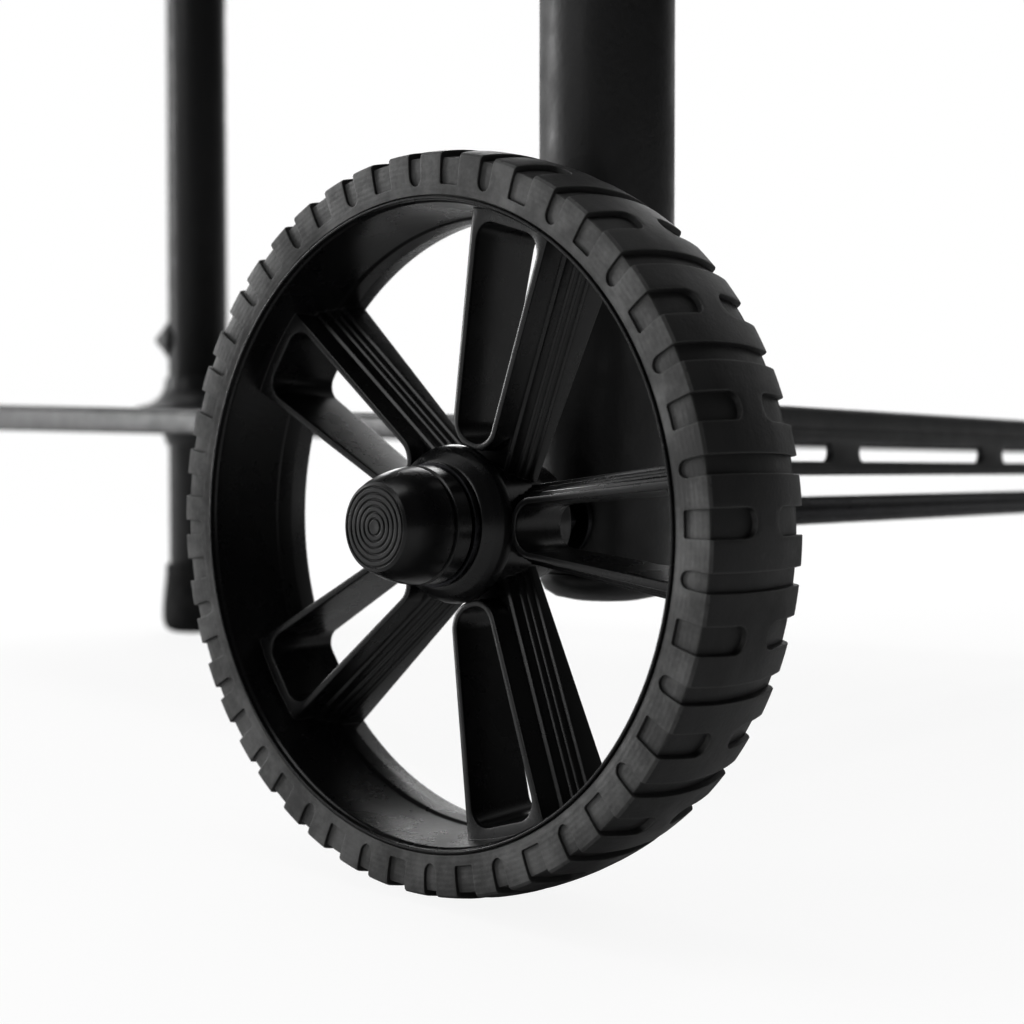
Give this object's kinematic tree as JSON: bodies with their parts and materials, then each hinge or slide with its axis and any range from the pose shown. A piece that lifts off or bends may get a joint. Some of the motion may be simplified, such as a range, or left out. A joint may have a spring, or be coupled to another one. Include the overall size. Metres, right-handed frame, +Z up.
{
  "type": "tennis ball machine",
  "caption": "Tennis ball machine on a wheeled tripod frame: slotted shelf, sweeping turret with tilting two-wheel launcher, rotating feeder, open hopper and folding handle.",
  "frame": {"origin": "on the ground, centre of the footprint", "axes": "+X across the machine along the wheel axle, +Y forward, the way balls are thrown, +Z up"},
  "size_m": [0.5842, 0.5718, 1.15],
  "materials": {
    "powder_coat": "satin black powder coat",
    "shelf_coat": "satin dark grey powder coat",
    "tyre_rubber": "matte black moulded tread",
    "wheel_plastic": "glossy black moulded plastic",
    "black_rubber": "matte black rubber",
    "zinc_steel": "bright zinc plate",
    "axle_steel": "black oxide",
    "body_plastic": "fine textured black",
    "grey_plastic": "mid grey",
    "green_rubber": "ball-green rubber"
  },
  "bodies": {
    "frame": {"leg_left": "powder_coat", "leg_right": "powder_coat", "leg_front": "powder_coat", "leg_plug_left": "wheel_plastic", "leg_plug_right": "wheel_plastic", "foot_front": "black_rubber", "shelf_tray": "shelf_coat", "shelf_collar_top": "shelf_coat", "shelf_collar_bottom": "shelf_coat", "bolt_cap_front": "wheel_plastic", "axle": "axle_steel", "washer_outer_left": "zinc_steel", "washer_outer_right": "zinc_steel", "washer_inner_left": "zinc_steel", "washer_inner_right": "zinc_steel", "lock_nut_left": "zinc_steel", "lock_nut_right": "zinc_steel", "hub_cap_left": "wheel_plastic", "hub_cap_right": "wheel_plastic", "top_platform": "powder_coat", "turntable_race": "zinc_steel", "turntable_bolt": "zinc_steel", "sweep_motor": "grey_plastic", "handle_bracket_left": "powder_coat", "handle_bracket_right": "powder_coat", "handle_bolt_left": "zinc_steel", "handle_bolt_right": "zinc_steel"},
    "wheel_left": {"rim_left": "wheel_plastic", "tyre_left": "tyre_rubber"},
    "wheel_right": {"rim_right": "wheel_plastic", "tyre_right": "tyre_rubber"},
    "turret": {"turntable_plate": "body_plastic", "base_pan": "body_plastic", "side_panel_left": "body_plastic", "side_panel_right": "body_plastic", "front_cover": "body_plastic", "rear_cover": "body_plastic", "top_deck": "body_plastic", "hopper_bin": "body_plastic", "feed_motor": "grey_plastic", "battery": "grey_plastic", "controller_box": "grey_plastic", "control_panel": "grey_plastic", "charge_socket": "zinc_steel"},
    "drive_roller": {"drive_roller": "black_rubber"},
    "launcher": {"launcher_chassis": "zinc_steel", "throw_motor_top": "grey_plastic", "throw_motor_bottom": "grey_plastic", "elevation_knob": "body_plastic"},
    "throw_wheel_top": {"throw_wheel_top": "green_rubber"},
    "throw_wheel_bottom": {"throw_wheel_bottom": "green_rubber"},
    "feed_carousel": {"feed_carousel": "green_rubber"},
    "knob_speed": {"knob_speed": "body_plastic"},
    "knob_spin": {"knob_spin": "body_plastic"},
    "knob_feed": {"knob_feed": "body_plastic"},
    "power_switch": {"power_switch": "body_plastic"},
    "battery_door": {"battery_door": "body_plastic"},
    "handle": {"push_handle": "powder_coat", "handle_grip": "black_rubber"}
  },
  "joints": [
    {"name": "wheel_left_spin", "type": "hinge", "parent": "frame", "child": "wheel_left", "pos_m": [-0.2686, -0.2085, 0.0775], "axis": [1, 0, 0], "continuous": true},
    {"name": "wheel_right_spin", "type": "hinge", "parent": "frame", "child": "wheel_right", "pos_m": [0.2686, -0.2085, 0.0775], "axis": [1, 0, 0], "continuous": true},
    {"name": "turret_sweep", "type": "hinge", "parent": "frame", "child": "turret", "pos_m": [0, -0.03, 0.6], "axis": [0, 0, 1], "range_deg": [-18, 18]},
    {"name": "drive_roller_spin", "type": "hinge", "parent": "frame", "child": "drive_roller", "pos_m": [0.07115, -0.15324, 0.595], "axis": [0, 0, 1], "range_deg": [-250, 250]},
    {"name": "launcher_tilt", "type": "hinge", "parent": "turret", "child": "launcher", "pos_m": [0, 0, 0.74], "axis": [1, 0, 0], "range_deg": [0, 30]},
    {"name": "throw_top_spin", "type": "hinge", "parent": "launcher", "child": "throw_wheel_top", "pos_m": [0, 0, 0.818], "axis": [1, 0, 0], "continuous": true},
    {"name": "throw_bottom_spin", "type": "hinge", "parent": "launcher", "child": "throw_wheel_bottom", "pos_m": [0, 0, 0.662], "axis": [1, 0, 0], "continuous": true},
    {"name": "carousel_spin", "type": "hinge", "parent": "turret", "child": "feed_carousel", "pos_m": [0, -0.005, 0.905], "axis": [0, 0, 1], "continuous": true},
    {"name": "speed_turn", "type": "hinge", "parent": "turret", "child": "knob_speed", "pos_m": [-0.09, -0.2103, 0.825], "axis": [0, -1, 0], "range_deg": [-135, 135]},
    {"name": "spin_turn", "type": "hinge", "parent": "turret", "child": "knob_spin", "pos_m": [-0.035, -0.2103, 0.825], "axis": [0, -1, 0], "range_deg": [-135, 135]},
    {"name": "feed_turn", "type": "hinge", "parent": "turret", "child": "knob_feed", "pos_m": [0.02, -0.2103, 0.825], "axis": [0, -1, 0], "range_deg": [-135, 135]},
    {"name": "power_rock", "type": "hinge", "parent": "turret", "child": "power_switch", "pos_m": [0.085, -0.2118, 0.825], "axis": [1, 0, 0], "range_deg": [0, 18]},
    {"name": "battery_door_swing", "type": "hinge", "parent": "turret", "child": "battery_door", "pos_m": [-0.0815, -0.2115, 0.662], "axis": [0, 0, 1], "range_deg": [-110, 0]},
    {"name": "handle_fold", "type": "hinge", "parent": "frame", "child": "handle", "pos_m": [0, -0.2525, 0.6], "axis": [1, 0, 0], "range_deg": [0, 175]}
  ],
  "couplings": [
    {"joint": "drive_roller_spin", "follows": "turret_sweep", "ratio": -10.833}
  ]
}
